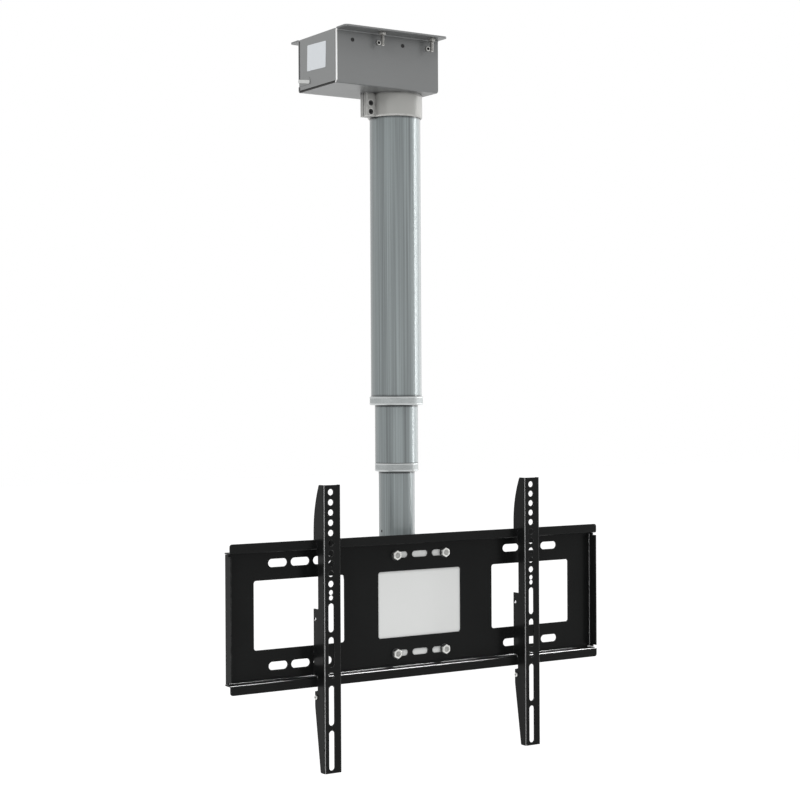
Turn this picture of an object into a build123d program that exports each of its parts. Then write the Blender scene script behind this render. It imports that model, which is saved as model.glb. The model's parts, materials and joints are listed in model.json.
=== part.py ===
from build123d import *
import os
from math import sqrt

# Motor-driven telescopic ceiling mount for a flat screen.
# Sizes are in millimetres. The origin lies on the ceiling face, on the axis of the column.
# +Z points up, +X to the right along the wall plate, and the screen hangs on the -Y side.

# Clearances
seat_gap = 0.05  # round seats of pieces that are fixed together
running_gap = 0.08  # radial, for shafts and screws that turn in a bore
slide_gap = 0.25  # radial, for tubes in their nylon bushes
face_gap = 0.3  # flat faces of pieces that slide or turn past each other

# Housing box
housing_length = 185.0
housing_depth = 116.0
housing_height = 83.5
housing_sheet = 2.5
housing_bend = 2.0
flange_reach = 27.3
flange_corner = 6.0
column_to_right_end = 43.4
cover_sheet = 2.0
cover_tab = 6.0
cover_bottom_gap = 1.0
cover_top_gap = 1.0
notch_height = 12.0
notch_length = 34.0
notch_drop = 68.0
grommet_wall = 1.4
grommet_width = 5.0

# Ceiling bolts, one pair in each flange
ceiling_bolt_radius = 3.0
ceiling_bolt_pitch = 90.0
ceiling_bolt_offset = -23.0
ceiling_bolt_rows = 144.0
ceiling_bolt_length = 23.8
ceiling_bolt_hole = 0.3
countersink_radius = 5.2
countersink_depth = 2.2
ceiling_nut_flats = 10.0
ceiling_nut_height = 5.0

# Clamp collar under the box
collar_radius = 43.1
collar_height = 37.0
collar_chamfer = 1.6
ear_reach = 58.0
ear_width = 19.2
ear_slit = 2.0
clamp_screw_radius = 2.5
clamp_head_radius = 4.1
clamp_head_height = 4.5
clamp_screw_x = 50.6
clamp_screw_drops = (16.5, 30.0)

# Column tubes
outer_tube_radius = 40.0
middle_tube_radius = 34.0
inner_tube_radius = 28.6
tube_wall = 2.5
outer_tube_length = 474.0
middle_tube_length = 452.2
inner_tube_length = 425.6
middle_exposed = 90.6
inner_exposed = 104.6
end_ring_height = 13.8
outer_ring_proud = 2.4
middle_ring_proud = 0.5
end_ring_round = 1.6
ring_spigot = 8.0
bush_height = 30.0
sleeve_height = 25.0

# Swivel hub that hangs the column in the floor of the box
hub_neck_radius = 29.8
hub_bore_radius = 16.0
hub_spigot = 20.0
hub_ring_radius = 38.0
hub_ring_height = 8.0
thrust_washer_height = 3.0
hub_screw_radius = 2.5
hub_screw_length = 9.4
hub_screw_drop = 11.0
hub_slot_width = 5.0
hub_slot_depth = 3.0

# Drive cradle inside the box
cradle_sheet = 2.5
cradle_deck_height = 19.0
cradle_top_gap = 8.0
cradle_left_gap = 5.7
cradle_right_gap = 1.4
wall_screw_drop = 16.6
wall_screw_radius = 2.0
wall_screw_head_radius = 3.8
wall_screw_head_height = 2.6
wall_screw_places = (-67.5, 23.2)
wall_hole_radius = 2.3
wall_hole_places = (-113.2, -22.6)
wall_nut_flats = 7.0
wall_nut_height = 3.0
wall_screw_past_nut = 1.0

# Gearbox and motor
gearbox_length = 68.0
gearbox_width = 66.0
gearbox_height = 50.0
gearbox_corner = 7.0
gearbox_edge = 2.5
gearbox_screw_radius = 2.5
gearbox_screw_spacing = 52.0
gearbox_screw_depth = 12.0
gearbox_screw_head_radius = 4.5
gearbox_screw_head_height = 3.0
motor_radius = 21.0
motor_length = 84.0
motor_offset = 9.0
motor_rise = 23.0
motor_boss_radius = 15.0
motor_boss_length = 5.0
motor_cap_height = 9.0
motor_cap_step = 3.0
motor_front_round = 2.0
motor_end_boss_radius = 7.0
motor_end_boss_height = 3.0
motor_tab_offset = 12.0
motor_tab_size = (4.0, 6.0, 1.0)
thrust_bearing_radius = 14.8
thrust_bearing_height = 7.0
output_hub_radius = 12.0
output_hub_flange = 14.5
output_hub_length = 25.0
output_flange_height = 4.0
gearbox_bore_radius = 15.0

# Control board on the front wall of the cradle
board_length = 78.0
board_height = 36.0
board_sheet = 1.6
board_left = -121.0
standoff_length = 5.4
standoff_radius = 2.5
standoff_inset = 4.0
board_rise = 3.5
board_screw_radius = 1.2
board_screw_head = (2.2, 1.6)
transformer_size = (24.0, 15.0, 22.0)
transformer_place = (10.0, 7.0)
transformer_coil_share = (0.55, 0.7)
transformer_coil_proud = 3.0
relay_size = (16.0, 12.0, 12.0)
relay_place = (40.0, 3.0)
relay_pitch = 16.0
relay_round = 0.8
terminal_size = (14.0, 10.0, 10.0)
terminal_place = (62.0, 12.0)
terminal_hole_radius = 1.6
terminal_hole_depth = 3.0

# Lifting screws and their nuts
upper_screw_radius = 8.0
lower_screw_radius = 13.0
lower_screw_bore = 8.4
upper_screw_end_margin = 22.0
screw_hub_depth = 21.0
screw_chamfer = 1.0
screw_hole_gap = 2.0
keyway_margin = 5.0
keyway_width = 3.3
keyway_depth = 2.0
key_width = 3.0
key_top = 12.0
key_gap = 0.2
plug_flange_height = 6.0
plug_length = 44.0
nut_body_radius = 14.0
nut_flange_radius = 21.0
nut_flange_height = 5.0
nut_body_height = 24.0
plug_web = 4.0
screw_head_radius = 14.5
screw_head_height = 6.0
head_clearance = 1.0
hanger_bearing_radius = 17.5
hanger_bearing_height = 6.0
retainer_radius = 22.0
retainer_height = 3.0
inner_plug_length = 30.0
inner_nut_body_radius = 18.0
inner_nut_flange_radius = 23.0

# Travel of each moving tube from the pose shown
travel_up = 90.0
travel_down = 230.0

# Foot of the inner tube
foot_socket_height = 30.0
foot_socket_bore = 11.0
foot_screw_rise = 11.0
foot_screw_radius = 2.0
foot_screw_length = 11.5
foot_screw_socket = 1.5
foot_bolt_radius = 3.0
foot_bolt_circle = 18.5
foot_bolt_flats = 10.0
foot_bolt_head = 4.0
foot_bolt_depth = 16.0

# Head bracket behind the wall plate
bracket_sheet = 3.0
bracket_half_width = 90.0
bracket_rise = 98.0
bracket_fall = 90.0
shelf_behind_column = 38.0
gusset_foot = 20.0
weld_overlap = 0.5

# Wall plate
plate_sheet = 2.0
plate_bend = 1.2
plate_length = 676.0
plate_inner_height = 189.0
plate_height = 218.0
plate_reach = 16.2
plate_to_column = 65.0
side_flange_gap = 0.8
side_flange_notch = (8.0, 3.2)
lip_corner = 4.0
window_height = 101.8
window_corner = 4.0
side_window_near = 136.7
side_window_far = 291.2
centre_window_width = 152.6
cut_rise = 1.4
slot_row = 75.6
side_slot_centre = 213.0
side_slot_pitch = 38.0
side_slot_length = 32.0
side_slot_width = 12.1
centre_slot_pitch = 37.0
centre_slot_length = 29.0
centre_slot_width = 9.7
plate_bolt_x = 45.0
plate_bolt_radius = 4.0
plate_bolt_flats = 13.0
plate_bolt_head = 5.3
plate_washer_radius = 8.0
plate_washer_height = 1.6
plate_nut_height = 6.5
plate_bolt_past_nut = 3.0

# Screen arms
arm_places = {"left": -179.1, "right": 190.5}
arm_sheet = 2.0
arm_bend = 1.2
arm_width = 29.5
arm_front = 37.0
arm_above = 190.5
arm_below = 235.3
arm_short_flange = 9.0
arm_top_depth = 14.6
arm_hook_depth = 30.5
arm_shelf_gap = 1.5
arm_notch_taper = (5.0, 11.0)
arm_notch_depth = 18.0
arm_step = 2.0
arm_outline_round = 2.0
arm_taper_end = 120.0
hook_length = 10.0
arm_foot_depth = 33.8
arm_foot_top = 6.0
arm_lock_depth = 28.4
arm_lock_top = 116.6
arm_lock_bottom = 138.0
arm_bottom_depth = 13.0
arm_hole_offset = -2.65
arm_hole_radius = 4.75
arm_hole_top = 179.9
arm_hole_pitch = 15.05
arm_hole_count = 10
double_hole_radius = 3.75
double_hole_places = (31.8, 23.9)
arm_slots = ((15.8, -26.9), (-34.0, -78.6), (-105.9, -164.8), (-172.2, -231.1))
low_hole_place = -90.7
string_hole_depth = 27.2
string_hole_drop = 9.0
string_hole_radius = 2.7
lock_screw_drop = 124.9
lock_screw_depth = 23.4
lock_screw_radius = 2.0
lock_head_radius = 3.6
lock_head_height = 2.8
lock_nut_flats = 7.0
lock_nut_height = 3.2
lock_past_nut = 1.5

# Places that follow from the sizes above
box_left = column_to_right_end - housing_length
box_right = column_to_right_end
wall_inside = housing_depth / 2 - housing_sheet
box_floor = housing_sheet - housing_height
collar_bottom = -housing_height - collar_height
hub_ring_low = box_floor + thrust_washer_height
outer_top = -housing_height - face_gap
outer_end = outer_top - outer_tube_length
outer_ring_low = outer_end - end_ring_height
middle_end = outer_ring_low - middle_exposed
middle_ring_low = middle_end - end_ring_height
middle_top = middle_end + middle_tube_length
shelf_top = middle_ring_low - inner_exposed
inner_top = shelf_top + inner_tube_length
outer_inside = outer_tube_radius - tube_wall
middle_inside = middle_tube_radius - tube_wall
inner_inside = inner_tube_radius - tube_wall
deck_bottom = box_floor - cradle_sheet + cradle_deck_height
deck_top = deck_bottom + cradle_sheet
cradle_left = box_left + cover_sheet + cover_tab + cradle_left_gap
cradle_right = box_right - cover_sheet - cover_tab - cradle_right_gap
motor_z = deck_top + motor_rise
screw_top = deck_top + thrust_bearing_height + screw_hub_depth
middle_plug_top = middle_top + plug_flange_height
middle_plug_low = middle_plug_top - plug_length
nut_pocket_low = middle_plug_top - nut_body_height - face_gap
bearing_cavity_top = nut_pocket_low - plug_web
lower_screw_top = bearing_cavity_top - head_clearance
hanger_bearing_top = lower_screw_top - screw_head_height
hanger_bearing_low = hanger_bearing_top - hanger_bearing_height
inner_plug_top = inner_top + plug_flange_height
inner_nut_low = inner_plug_top - nut_body_height
upper_screw_low = middle_plug_top - nut_body_height - travel_down - upper_screw_end_margin
lower_screw_low = inner_nut_low - travel_down - upper_screw_end_margin / 2
plate_z = shelf_top - bracket_rise
cut_z = plate_z + cut_rise
web_front = -plate_to_column
web_back = web_front + plate_sheet
lip_front = web_front - plate_reach
half_plate = plate_length / 2
half_inner = plate_inner_height / 2
flange_half = half_inner - side_flange_gap
arm_face = web_front - arm_front
lip_depth = lip_front - arm_face


def facing_x(x):
    """A work plane across X: its own x is +Y, its own y is +Z, and it is extruded towards +X."""
    return Plane(origin=(x, 0, 0), x_dir=(0, 1, 0), z_dir=(1, 0, 0))


def facing_front(y):
    """A work plane across Y: its own x is +X, its own y is +Z, and it is extruded towards -Y."""
    return Plane(origin=(0, y, 0), x_dir=(1, 0, 0), z_dir=(0, -1, 0))


def tube(outer, inner, low, high):
    """A ring or tube on the column's axis, or a plain disc when inner is 0."""
    section = Circle(outer)
    if inner > 0:
        section -= Circle(inner)
    return Pos(0, 0, low) * extrude(section, high - low)


def rod(radius, start, end):
    """A round bar between two points."""
    run = Vector(*end) - Vector(*start)
    return extrude(Plane(origin=start, z_dir=run.normalized()) * Circle(radius), run.length)


def hexagon(flats, start, end, bore=0.0):
    """A hexagon bar between two points, flats across, with a round bore if one is given."""
    run = Vector(*end) - Vector(*start)
    section = RegularPolygon(flats / 2, 6, major_radius=False)
    if bore > 0:
        section -= Circle(bore)
    return extrude(Plane(origin=start, z_dir=run.normalized()) * section, run.length)


def block(low, high):
    """A box between two opposite corners."""
    size = [b - a for a, b in zip(low, high)]
    middle = [(a + b) / 2 for a, b in zip(low, high)]
    return Pos(*middle) * Box(*size)


def folded_section(points, sheet, inner_radius):
    """The section of a sheet folded square along points, its thickness on the left of the path."""
    path = [Vector(*p) for p in points]
    normals = []
    for a, b in zip(path, path[1:]):
        run = (b - a).normalized()
        normals.append(Vector(-run.Y, run.X))
    other = [path[0] + normals[0] * sheet]
    for corner, before, after in zip(path[1:], normals, normals[1:]):
        other.append(corner + (before + after) * sheet)
    other.append(path[-1] + normals[-1] * sheet)
    section = make_face(Polyline(*path, *reversed(other), close=True))
    for corner, mate, before, after in zip(path[1:], other[1:], normals, normals[1:]):
        turns_left = before.X * after.Y - before.Y * after.X > 0
        inside, outside = (mate, corner) if turns_left else (corner, mate)
        for place, radius in ((inside, inner_radius), (outside, inner_radius + sheet)):
            near = [v for v in section.vertices() if (Vector(*v) - place).length < 1e-3]
            section = fillet(near, radius)
    return section


def slots_facing_front(places, length, width, y_near, y_far, upright=False):
    """Cutters for round-ended slots in a sheet across Y, one at each (x, z)."""
    section = SlotOverall(length, width, rotation=90 if upright else 0)
    return [extrude(facing_front(y_far) * Pos(x, z) * section, y_far - y_near) for x, z in places]


def housing_shell():
    reach = housing_depth / 2 + flange_reach
    path = [
        (reach, 0),
        (wall_inside, 0),
        (wall_inside, box_floor),
        (-wall_inside, box_floor),
        (-wall_inside, 0),
        (-reach, 0),
    ]
    section = folded_section(path, housing_sheet, housing_bend)
    shell = extrude(facing_x(box_left) * section, housing_length)
    corners = [e for e in shell.edges().filter_by(Axis.Z) if abs(abs(e.center().Y) - reach) < 0.01]
    shell = fillet(corners, flange_corner)
    shell -= rod(hub_neck_radius + face_gap, (0, 0, box_floor + 1), (0, 0, -housing_height - 1))
    shell -= wall_holes(-housing_depth / 2 - 1, -wall_inside + 1)
    shell -= wall_holes(wall_inside - 1, housing_depth / 2 + 1)
    for x, y in ceiling_bolt_places():
        shell -= rod(ceiling_bolt_radius + ceiling_bolt_hole, (x, y, 1), (x, y, -housing_sheet - 1))
        shell -= countersink(x, y, seat_gap)
    half = notch_height / 2
    shell -= block(
        (box_left - 1, wall_inside - 1, -notch_drop - half),
        (box_left + cover_sheet + 1, housing_depth / 2 + 1, -notch_drop + half),
    )
    return shell


def wall_holes(y_low, y_high):
    """Cutters for the four holes at the top of a wall, between two values of Y."""
    z = -wall_screw_drop
    cutters = [rod(wall_screw_radius + seat_gap, (x, y_low, z), (x, y_high, z)) for x in wall_screw_places]
    return cutters + [rod(wall_hole_radius, (x, y_low, z), (x, y_high, z)) for x in wall_hole_places]


def ceiling_bolt_places():
    half_pitch, half_rows = ceiling_bolt_pitch / 2, ceiling_bolt_rows / 2
    return [(ceiling_bolt_offset + i * half_pitch, j * half_rows) for i in (-1, 1) for j in (-1, 1)]


def countersink(x, y, gap):
    """The conical seat of a flush bolt head in the ceiling face, widened by gap."""
    cone = Cone(ceiling_bolt_radius + gap, countersink_radius + gap, countersink_depth)
    return Pos(x, y, -countersink_depth / 2) * cone


def ceiling_bolts():
    bolts = []
    for x, y in ceiling_bolt_places():
        shank = rod(ceiling_bolt_radius, (x, y, -countersink_depth / 2), (x, y, -ceiling_bolt_length))
        bolts.append(shank + countersink(x, y, 0))
    return bolts


def ceiling_nuts():
    top = -housing_sheet
    low = top - ceiling_nut_height
    bore = ceiling_bolt_radius + seat_gap
    return [hexagon(ceiling_nut_flats, (x, y, low), (x, y, top), bore) for x, y in ceiling_bolt_places()]


def end_cover(x_outside, side):
    """An end plate with a tab folded inwards at the front and the back; side is -1 at the left."""
    half = wall_inside - seat_gap
    inner = x_outside - side * (cover_sheet + cover_tab)
    path = [(inner, -half), (x_outside, -half), (x_outside, half), (inner, half)]
    if side < 0:
        path.reverse()
    low = box_floor + cover_bottom_gap
    height = -cover_top_gap - low
    section = folded_section(path, cover_sheet, cover_sheet / 2)
    bay = Pos(0, low + height / 2) * RectangleRounded(2 * half, height, housing_bend)
    cover = Pos(0, 0, low) * extrude(section, height)
    return cover & extrude(facing_x(min(x_outside, inner)) * bay, cover_sheet + cover_tab)


def notch_section(shrink):
    """The rounded end of the cable outlet in the left cover, made smaller all round by shrink."""
    radius = notch_height / 2 - shrink
    y_end = wall_inside + 1
    y_round = wall_inside - notch_length + notch_height / 2
    bar = Pos((y_round + y_end) / 2, -notch_drop) * Rectangle(y_end - y_round, 2 * radius)
    return Pos(y_round, -notch_drop) * Circle(radius) + bar


def left_end_cover():
    cover = end_cover(box_left, -1)
    return cover - extrude(facing_x(box_left - 1) * notch_section(0), cover_sheet + cover_tab + 2)


def cable_grommet():
    section = notch_section(0) - notch_section(grommet_wall)
    liner = extrude(facing_x(box_left + cover_sheet / 2 - grommet_width / 2) * section, grommet_width)
    return liner & block((box_left - 9, 0, -housing_height), (box_left + 9, wall_inside - seat_gap, 0))


def clamp_collar():
    bore = outer_tube_radius + running_gap
    collar = tube(collar_radius, 0, collar_bottom, -housing_height)
    rim = [e for e in collar.edges() if abs(e.center().Z - collar_bottom) < 0.01]
    collar = chamfer(rim, collar_chamfer)
    half_ear, half_slit = ear_width / 2, ear_slit / 2
    collar += block((-ear_reach, -half_ear, collar_bottom), (0, half_ear, -housing_height))
    collar -= tube(bore, 0, collar_bottom - 1, -housing_height + 1)
    collar -= block((-ear_reach - 1, -half_slit, collar_bottom - 1), (0, half_slit, -housing_height + 1))
    head_seat = -half_ear + face_gap + clamp_head_height
    for drop in clamp_screw_drops:
        z = -housing_height - drop
        front, middle, back = [(-clamp_screw_x, y, z) for y in (-half_ear - 1, 0, half_ear + 1)]
        collar -= rod(clamp_head_radius + face_gap, front, (-clamp_screw_x, head_seat, z))
        collar -= rod(clamp_screw_radius + face_gap, front, middle)
        collar -= rod(clamp_screw_radius + seat_gap, middle, back)
    return collar


def socket_screw(radius, head_radius, head_height, seat, tip):
    """A cylinder-head screw with a hexagon socket: the head stands behind seat, away from tip."""
    way = (Vector(*tip) - Vector(*seat)).normalized()
    crown = Vector(*seat) - way * head_height
    socket_floor = crown + way * head_height * 0.6
    screw = rod(radius, seat, tip) + rod(head_radius, tuple(crown), seat)
    return screw - hexagon(head_radius * 0.95, tuple(crown - way), tuple(socket_floor))


def clamp_screws():
    seat = -ear_width / 2 + face_gap + clamp_head_height
    screws = []
    for drop in clamp_screw_drops:
        z = -housing_height - drop
        start, end = (-clamp_screw_x, seat, z), (-clamp_screw_x, ear_width / 2 - face_gap, z)
        screws.append(socket_screw(clamp_screw_radius, clamp_head_radius, clamp_head_height, start, end))
    return screws


def thrust_washer():
    return tube(hub_ring_radius, hub_neck_radius + face_gap, box_floor, hub_ring_low)


def drive_cradle():
    outside = wall_inside - seat_gap
    inside = outside - cradle_sheet
    path = [(inside, -cradle_top_gap), (inside, deck_top), (-inside, deck_top), (-inside, -cradle_top_gap)]
    section = folded_section(path, cradle_sheet, housing_bend)
    cradle = extrude(facing_x(cradle_left) * section, cradle_right - cradle_left)
    cradle -= wall_holes(-outside - 1, -inside + 1)
    cradle -= wall_holes(inside - 1, outside + 1)
    cradle -= rod(upper_screw_radius + screw_hole_gap, (0, 0, deck_bottom - 1), (0, 0, deck_top + 1))
    for x, y in gearbox_screw_places():
        cradle -= rod(gearbox_screw_radius + face_gap, (x, y, deck_bottom - 1), (x, y, deck_top + 1))
    return cradle


def cradle_screws():
    screws = []
    tip = wall_inside - seat_gap - cradle_sheet - wall_nut_height - wall_screw_past_nut
    sizes = (wall_screw_radius, wall_screw_head_radius, wall_screw_head_height)
    for side in (-1, 1):
        for x in wall_screw_places:
            seat = (x, side * housing_depth / 2, -wall_screw_drop)
            end = (x, side * tip, -wall_screw_drop)
            screws.append(socket_screw(*sizes, seat, end))
    return screws


def cradle_nuts():
    near = wall_inside - seat_gap - cradle_sheet
    far = near - wall_nut_height
    bore = wall_screw_radius + seat_gap
    z = -wall_screw_drop
    nuts = []
    for side in (-1, 1):
        for x in wall_screw_places:
            nuts.append(hexagon(wall_nut_flats, (x, side * far, z), (x, side * near, z), bore))
    return nuts


def gearbox_screw_places():
    half = gearbox_screw_spacing / 2
    return [(i * half, j * half) for i in (-1, 1) for j in (-1, 1)]


def gearbox_case():
    half_x, half_y = gearbox_length / 2, gearbox_width / 2
    top = deck_top + gearbox_height
    case = block((-half_x, -half_y, deck_top), (half_x, half_y, top))
    case = fillet(case.edges().filter_by(Axis.Z), gearbox_corner)
    case = fillet(case.faces().sort_by(Axis.Z)[-1].edges(), gearbox_edge)
    y, z = motor_offset, motor_z
    case += rod(motor_boss_radius, (-half_x + 1, y, z), (-half_x - motor_boss_length, y, z))
    bore_top = screw_top + output_hub_length - screw_hub_depth + face_gap
    case -= tube(gearbox_bore_radius, 0, deck_top - 1, bore_top)
    hole_top = deck_top + gearbox_screw_depth + 1
    for x, y in gearbox_screw_places():
        case -= rod(gearbox_screw_radius + seat_gap, (x, y, deck_top - 1), (x, y, hole_top))
    return case


def gearbox_screws():
    screws = []
    sizes = (gearbox_screw_radius, gearbox_screw_head_radius, gearbox_screw_head_height)
    for x, y in gearbox_screw_places():
        screws.append(socket_screw(*sizes, (x, y, deck_bottom), (x, y, deck_top + gearbox_screw_depth)))
    return screws


def motor():
    y, z = motor_offset, motor_z
    front = -gearbox_length / 2 - motor_boss_length
    back = front - motor_length
    cap_front = back + motor_cap_height
    body = rod(motor_radius, (front, y, z), (cap_front, y, z))
    body = fillet([e for e in body.edges() if abs(e.center().X - front) < 0.01], motor_front_round)
    end_cap = rod(motor_radius - motor_cap_step, (cap_front + 1, y, z), (back, y, z))
    end_cap = fillet([e for e in end_cap.edges() if abs(e.center().X - back) < 0.01], motor_cap_step)
    body += end_cap
    body += rod(motor_end_boss_radius, (back + 1, y, z), (back - motor_end_boss_height, y, z))
    length, width, thickness = motor_tab_size
    for side in (-1, 1):
        tab = Box(length + 1, width, thickness)
        body += Pos(back - (length - 1) / 2, y + side * motor_tab_offset, z) * tab
    return body


def screw_thrust_bearing():
    bore = upper_screw_radius + face_gap
    return tube(thrust_bearing_radius, bore, deck_top, deck_top + thrust_bearing_height)


def output_hub():
    low = deck_top + thrust_bearing_height
    bore = upper_screw_radius + seat_gap
    hub = tube(output_hub_radius, bore, low, low + output_hub_length)
    return hub + tube(output_hub_flange, bore, low, low + output_flange_height)


def board_front():
    """The Y of the face of the board that its standoffs meet."""
    return -(wall_inside - seat_gap - cradle_sheet) + standoff_length


def board_span():
    low = deck_top + board_rise
    return low, low + board_height


def standoff_places():
    low, high = board_span()
    xs = (board_left + standoff_inset, board_left + board_length - standoff_inset)
    return [(x, z) for x in xs for z in (low + standoff_inset, high - standoff_inset)]


def control_board():
    low, high = board_span()
    y = board_front()
    board = block((board_left, y, low), (board_left + board_length, y + board_sheet, high))
    for x, z in standoff_places():
        board -= rod(board_screw_radius, (x, y - 1, z), (x, y + board_sheet + 1, z))
    return board


def board_standoffs():
    wall = board_front() - standoff_length
    screw_reach = board_front() + board_sheet
    head_radius, head_height = board_screw_head
    posts = []
    for x, z in standoff_places():
        post = rod(standoff_radius, (x, wall, z), (x, board_front(), z))
        post += rod(board_screw_radius - seat_gap, (x, wall, z), (x, screw_reach, z))
        posts.append(post + rod(head_radius, (x, screw_reach, z), (x, screw_reach + head_height, z)))
    return posts


def on_board(place, size):
    """A box on the board's component side; place is how far its low corner is along and up the board."""
    x, low = board_left + place[0], board_span()[0] + place[1]
    y = board_front() + board_sheet
    return block((x, y, low), (x + size[0], y + size[1], low + size[2]))


def transformer():
    along, up = transformer_place
    length, depth, height = transformer_size
    coil_length, coil_height = length * transformer_coil_share[0], height * transformer_coil_share[1]
    coil_place = (along + (length - coil_length) / 2, up + (height - coil_height) / 2)
    coil = on_board(coil_place, (coil_length, depth + transformer_coil_proud, coil_height))
    return on_board(transformer_place, transformer_size) + coil


def relays():
    along, up = relay_place
    places = [(along, up + i * relay_pitch) for i in (0, 1)]
    return [fillet(on_board(place, relay_size).edges(), relay_round) for place in places]


def terminal_block():
    body = on_board(terminal_place, terminal_size)
    length, depth, height = terminal_size
    y = board_front() + board_sheet + depth
    z = board_span()[0] + terminal_place[1] + height / 2
    for share in (0.25, 0.75):
        x = board_left + terminal_place[0] + length * share
        body -= rod(terminal_hole_radius, (x, y + 1, z), (x, y - terminal_hole_depth, z))
    return body


def mast_hub():
    top = hub_ring_low + hub_ring_height
    hub = tube(hub_neck_radius, hub_bore_radius, outer_top - hub_spigot, top)
    hub += tube(outer_inside - seat_gap, hub_bore_radius, outer_top - hub_spigot, outer_top)
    return hub - hub_screw_holes()


def radial_rods(radius, angles, near, far, z):
    """Round bars that point away from the column's axis, between two radii."""
    return [Rot(0, 0, angle) * rod(radius, (near, 0, z), (far, 0, z)) for angle in angles]


def hub_screw_bars(radius, far):
    near = outer_tube_radius - hub_screw_length
    return radial_rods(radius, (30, 150, 270), near, far, outer_top - hub_screw_drop)


def hub_screw_holes():
    return hub_screw_bars(hub_screw_radius + seat_gap, outer_tube_radius + 1)


def hub_screws():
    return hub_screw_bars(hub_screw_radius, outer_tube_radius - seat_gap)


def hub_ring_nut():
    ring = tube(hub_ring_radius, hub_neck_radius + seat_gap, hub_ring_low, hub_ring_low + hub_ring_height)
    slot_low, slot_high = hub_ring_low + hub_ring_height / 2, hub_ring_low + hub_ring_height + 1
    slot_in, slot_out = hub_ring_radius - hub_slot_depth, hub_ring_radius + 1
    half = hub_slot_width / 2
    for angle in (0, 90, 180, 270):
        ring -= Rot(0, 0, angle) * block((slot_in, -half, slot_low), (slot_out, half, slot_high))
    return ring


def outer_tube():
    return tube(outer_tube_radius, outer_inside, outer_end, outer_top) - hub_screw_holes()


def end_ring(outer, bore, tube_bore, low, seat):
    """The ring that closes a tube's lower end, with a spigot inside the tube above seat."""
    ring = tube(outer, bore, low, seat)
    rims = [e for e in ring.edges().filter_by(GeomType.CIRCLE) if abs(e.radius - outer) < 0.01]
    ring = fillet(rims, end_ring_round)
    return ring + tube(tube_bore - seat_gap, bore, seat - 1, seat + ring_spigot)


def outer_end_ring():
    bore = middle_tube_radius + slide_gap
    return end_ring(outer_tube_radius + outer_ring_proud, bore, outer_inside, outer_ring_low, outer_end)


def middle_end_ring():
    bore = inner_tube_radius + slide_gap
    return end_ring(middle_tube_radius + middle_ring_proud, bore, middle_inside, middle_ring_low, middle_end)


def outer_glide_bush():
    low = outer_end + ring_spigot
    return tube(outer_inside - seat_gap, middle_tube_radius + slide_gap, low, low + bush_height)


def middle_glide_bush():
    low = middle_end + ring_spigot
    return tube(middle_inside - seat_gap, inner_tube_radius + slide_gap, low, low + bush_height)


def middle_tube():
    return tube(middle_tube_radius, middle_inside, middle_end, middle_top)


def middle_glide_sleeve():
    bore = middle_tube_radius + seat_gap
    return tube(outer_inside - slide_gap, bore, middle_top - sleeve_height, middle_top)


def middle_top_plug():
    plug = tube(outer_inside - slide_gap, 0, middle_top, middle_plug_top)
    plug += tube(middle_inside - seat_gap, 0, middle_plug_low, middle_top + 1)
    plug -= tube(nut_body_radius + seat_gap, 0, nut_pocket_low, middle_plug_top + 1)
    plug -= tube(upper_screw_radius + screw_hole_gap, 0, bearing_cavity_top - 1, nut_pocket_low + 1)
    return plug - tube(hanger_bearing_radius + seat_gap, 0, middle_plug_low - 1, bearing_cavity_top)


def drive_nut(bore, body, flange, top):
    """A flanged nut that hangs in a plug, its flange on the plug's top face."""
    nut = tube(body, bore, top - nut_body_height, top)
    return nut + tube(flange, bore, top, top + nut_flange_height)


def middle_drive_nut():
    bore = upper_screw_radius + running_gap
    return drive_nut(bore, nut_body_radius, nut_flange_radius, middle_plug_top)


def inner_drive_nut():
    bore = lower_screw_radius + running_gap
    return drive_nut(bore, inner_nut_body_radius, inner_nut_flange_radius, inner_plug_top)


def upper_screw():
    screw = tube(upper_screw_radius, 0, upper_screw_low, screw_top)
    screw = chamfer(screw.edges().filter_by(GeomType.CIRCLE), screw_chamfer)
    keyway_top = lower_screw_top + travel_up + keyway_margin
    floor = upper_screw_radius - keyway_depth
    half = keyway_width / 2
    return screw - block((floor, -half, upper_screw_low - 1), (upper_screw_radius + 1, half, keyway_top))


def lower_screw():
    screw = tube(screw_head_radius, lower_screw_bore, hanger_bearing_top, lower_screw_top)
    screw += tube(lower_screw_radius, lower_screw_bore, lower_screw_low, hanger_bearing_top + 1)
    half = key_width / 2
    return screw - block((0, -half, hanger_bearing_top), (key_top, half, lower_screw_top + 1))


def screw_key():
    inner = upper_screw_radius - keyway_depth + key_gap
    half = key_width / 2
    return block((inner, -half, hanger_bearing_top), (key_top, half, lower_screw_top))


def lower_screw_bearing():
    bore = lower_screw_radius + face_gap
    return tube(hanger_bearing_radius, bore, hanger_bearing_low, hanger_bearing_top)


def bearing_retainer():
    bore = lower_screw_radius + face_gap
    plate = tube(retainer_radius, bore, middle_plug_low - retainer_height, middle_plug_low)
    return plate + tube(hanger_bearing_radius, bore, middle_plug_low - 1, hanger_bearing_low)


def foot_screw_bars(radius, near, far):
    return radial_rods(radius, (0, 180), near, far, shelf_top + foot_screw_rise)


def foot_screw_holes():
    near = inner_tube_radius - foot_screw_length - 1
    return foot_screw_bars(foot_screw_radius + seat_gap, near, inner_tube_radius + 1)


def inner_tube():
    return tube(inner_tube_radius, inner_inside, shelf_top, inner_top) - foot_screw_holes()


def inner_glide_sleeve():
    return tube(middle_inside - slide_gap, inner_tube_radius + seat_gap, inner_top - sleeve_height, inner_top)


def inner_top_plug():
    plug = tube(middle_inside - slide_gap, 0, inner_top, inner_plug_top)
    plug += tube(inner_inside - seat_gap, 0, inner_plug_top - inner_plug_length, inner_top + 1)
    return plug - tube(inner_nut_body_radius + seat_gap, 0, shelf_top, inner_plug_top + 1)


def foot_bolt_places():
    half = foot_bolt_circle / sqrt(2)
    return [(i * half, j * half) for i in (-1, 1) for j in (-1, 1)]


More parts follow.
